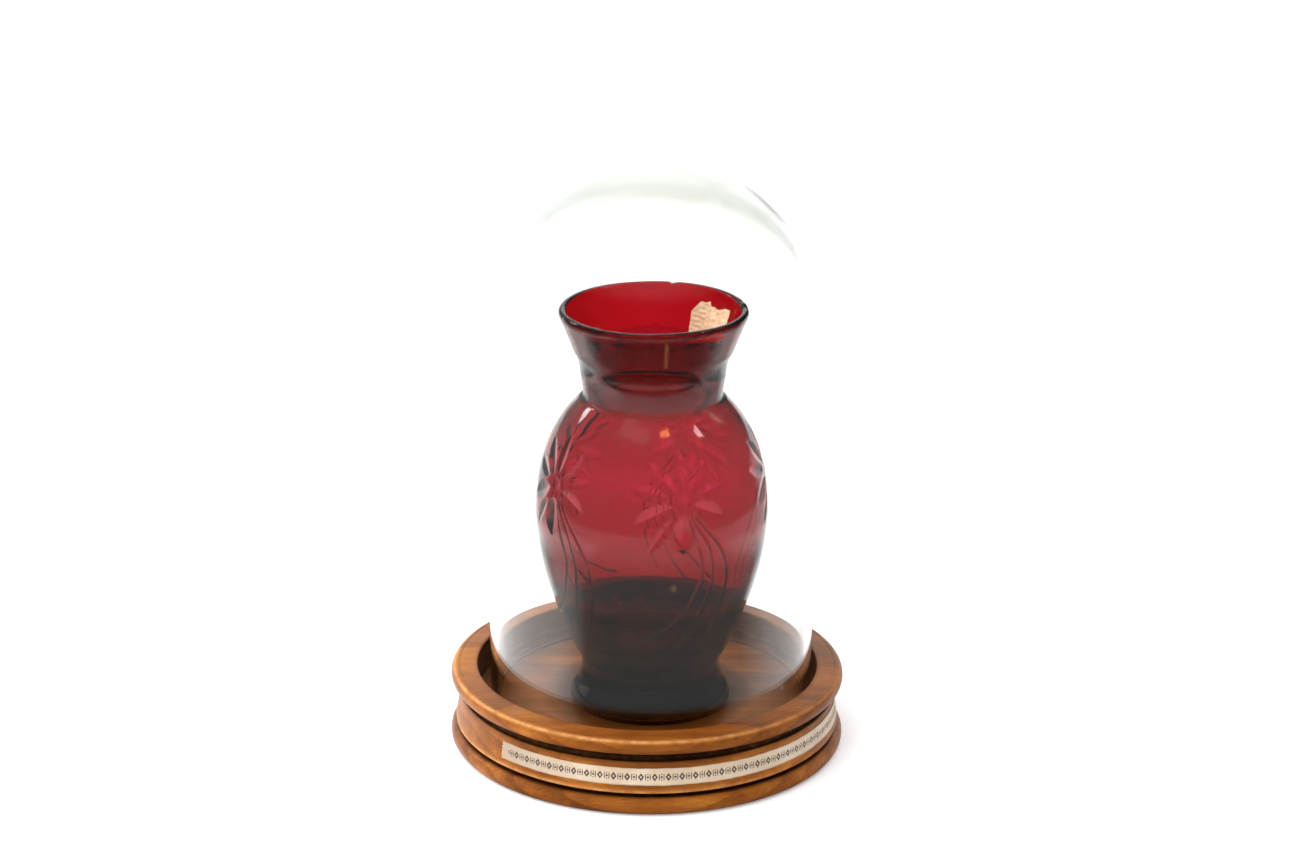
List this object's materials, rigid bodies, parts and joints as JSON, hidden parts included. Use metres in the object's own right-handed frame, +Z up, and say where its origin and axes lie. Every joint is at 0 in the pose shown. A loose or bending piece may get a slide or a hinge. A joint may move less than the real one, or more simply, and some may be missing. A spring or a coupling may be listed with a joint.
{
  "type": "glass bell",
  "caption": "Clear glass display bell with a round crown, standing in the recess of a turned wooden base over a cut ruby glass vase.",
  "frame": {"origin": "centre of the underside of the wooden base, on the table", "axes": "+Z up; the label faces -Y; +X is on the right of a viewer who faces the label"},
  "size_m": [0.168, 0.168, 0.2518],
  "materials": {
    "varnished_wood": "satin varnish, figured reddish brown hardwood",
    "label_paper": "matte aged paper with a small printed ornament",
    "clear_glass": "clear, polished",
    "ruby_glass": "transparent ruby, polished, with satin cut flowers",
    "old_tape": "glossy yellowed tape, crinkled"
  },
  "bodies": {
    "base": {"base_foot": "varnished_wood", "base_band": "varnished_wood", "base_rim": "varnished_wood", "paper_label": "label_paper"},
    "bell": {"glass_bell": "clear_glass"},
    "vase": {"vase": "ruby_glass", "tape_left": "old_tape", "tape_right": "old_tape"}
  },
  "joints": [
    {"name": "dome_lift", "type": "slide", "parent": "base", "child": "bell", "axis": [0, 0, 1], "range_m": [0, 0.21]},
    {"name": "vase_lift", "type": "slide", "parent": "base", "child": "vase", "axis": [0, 0, 1], "range_m": [0, 0.025]}
  ]
}
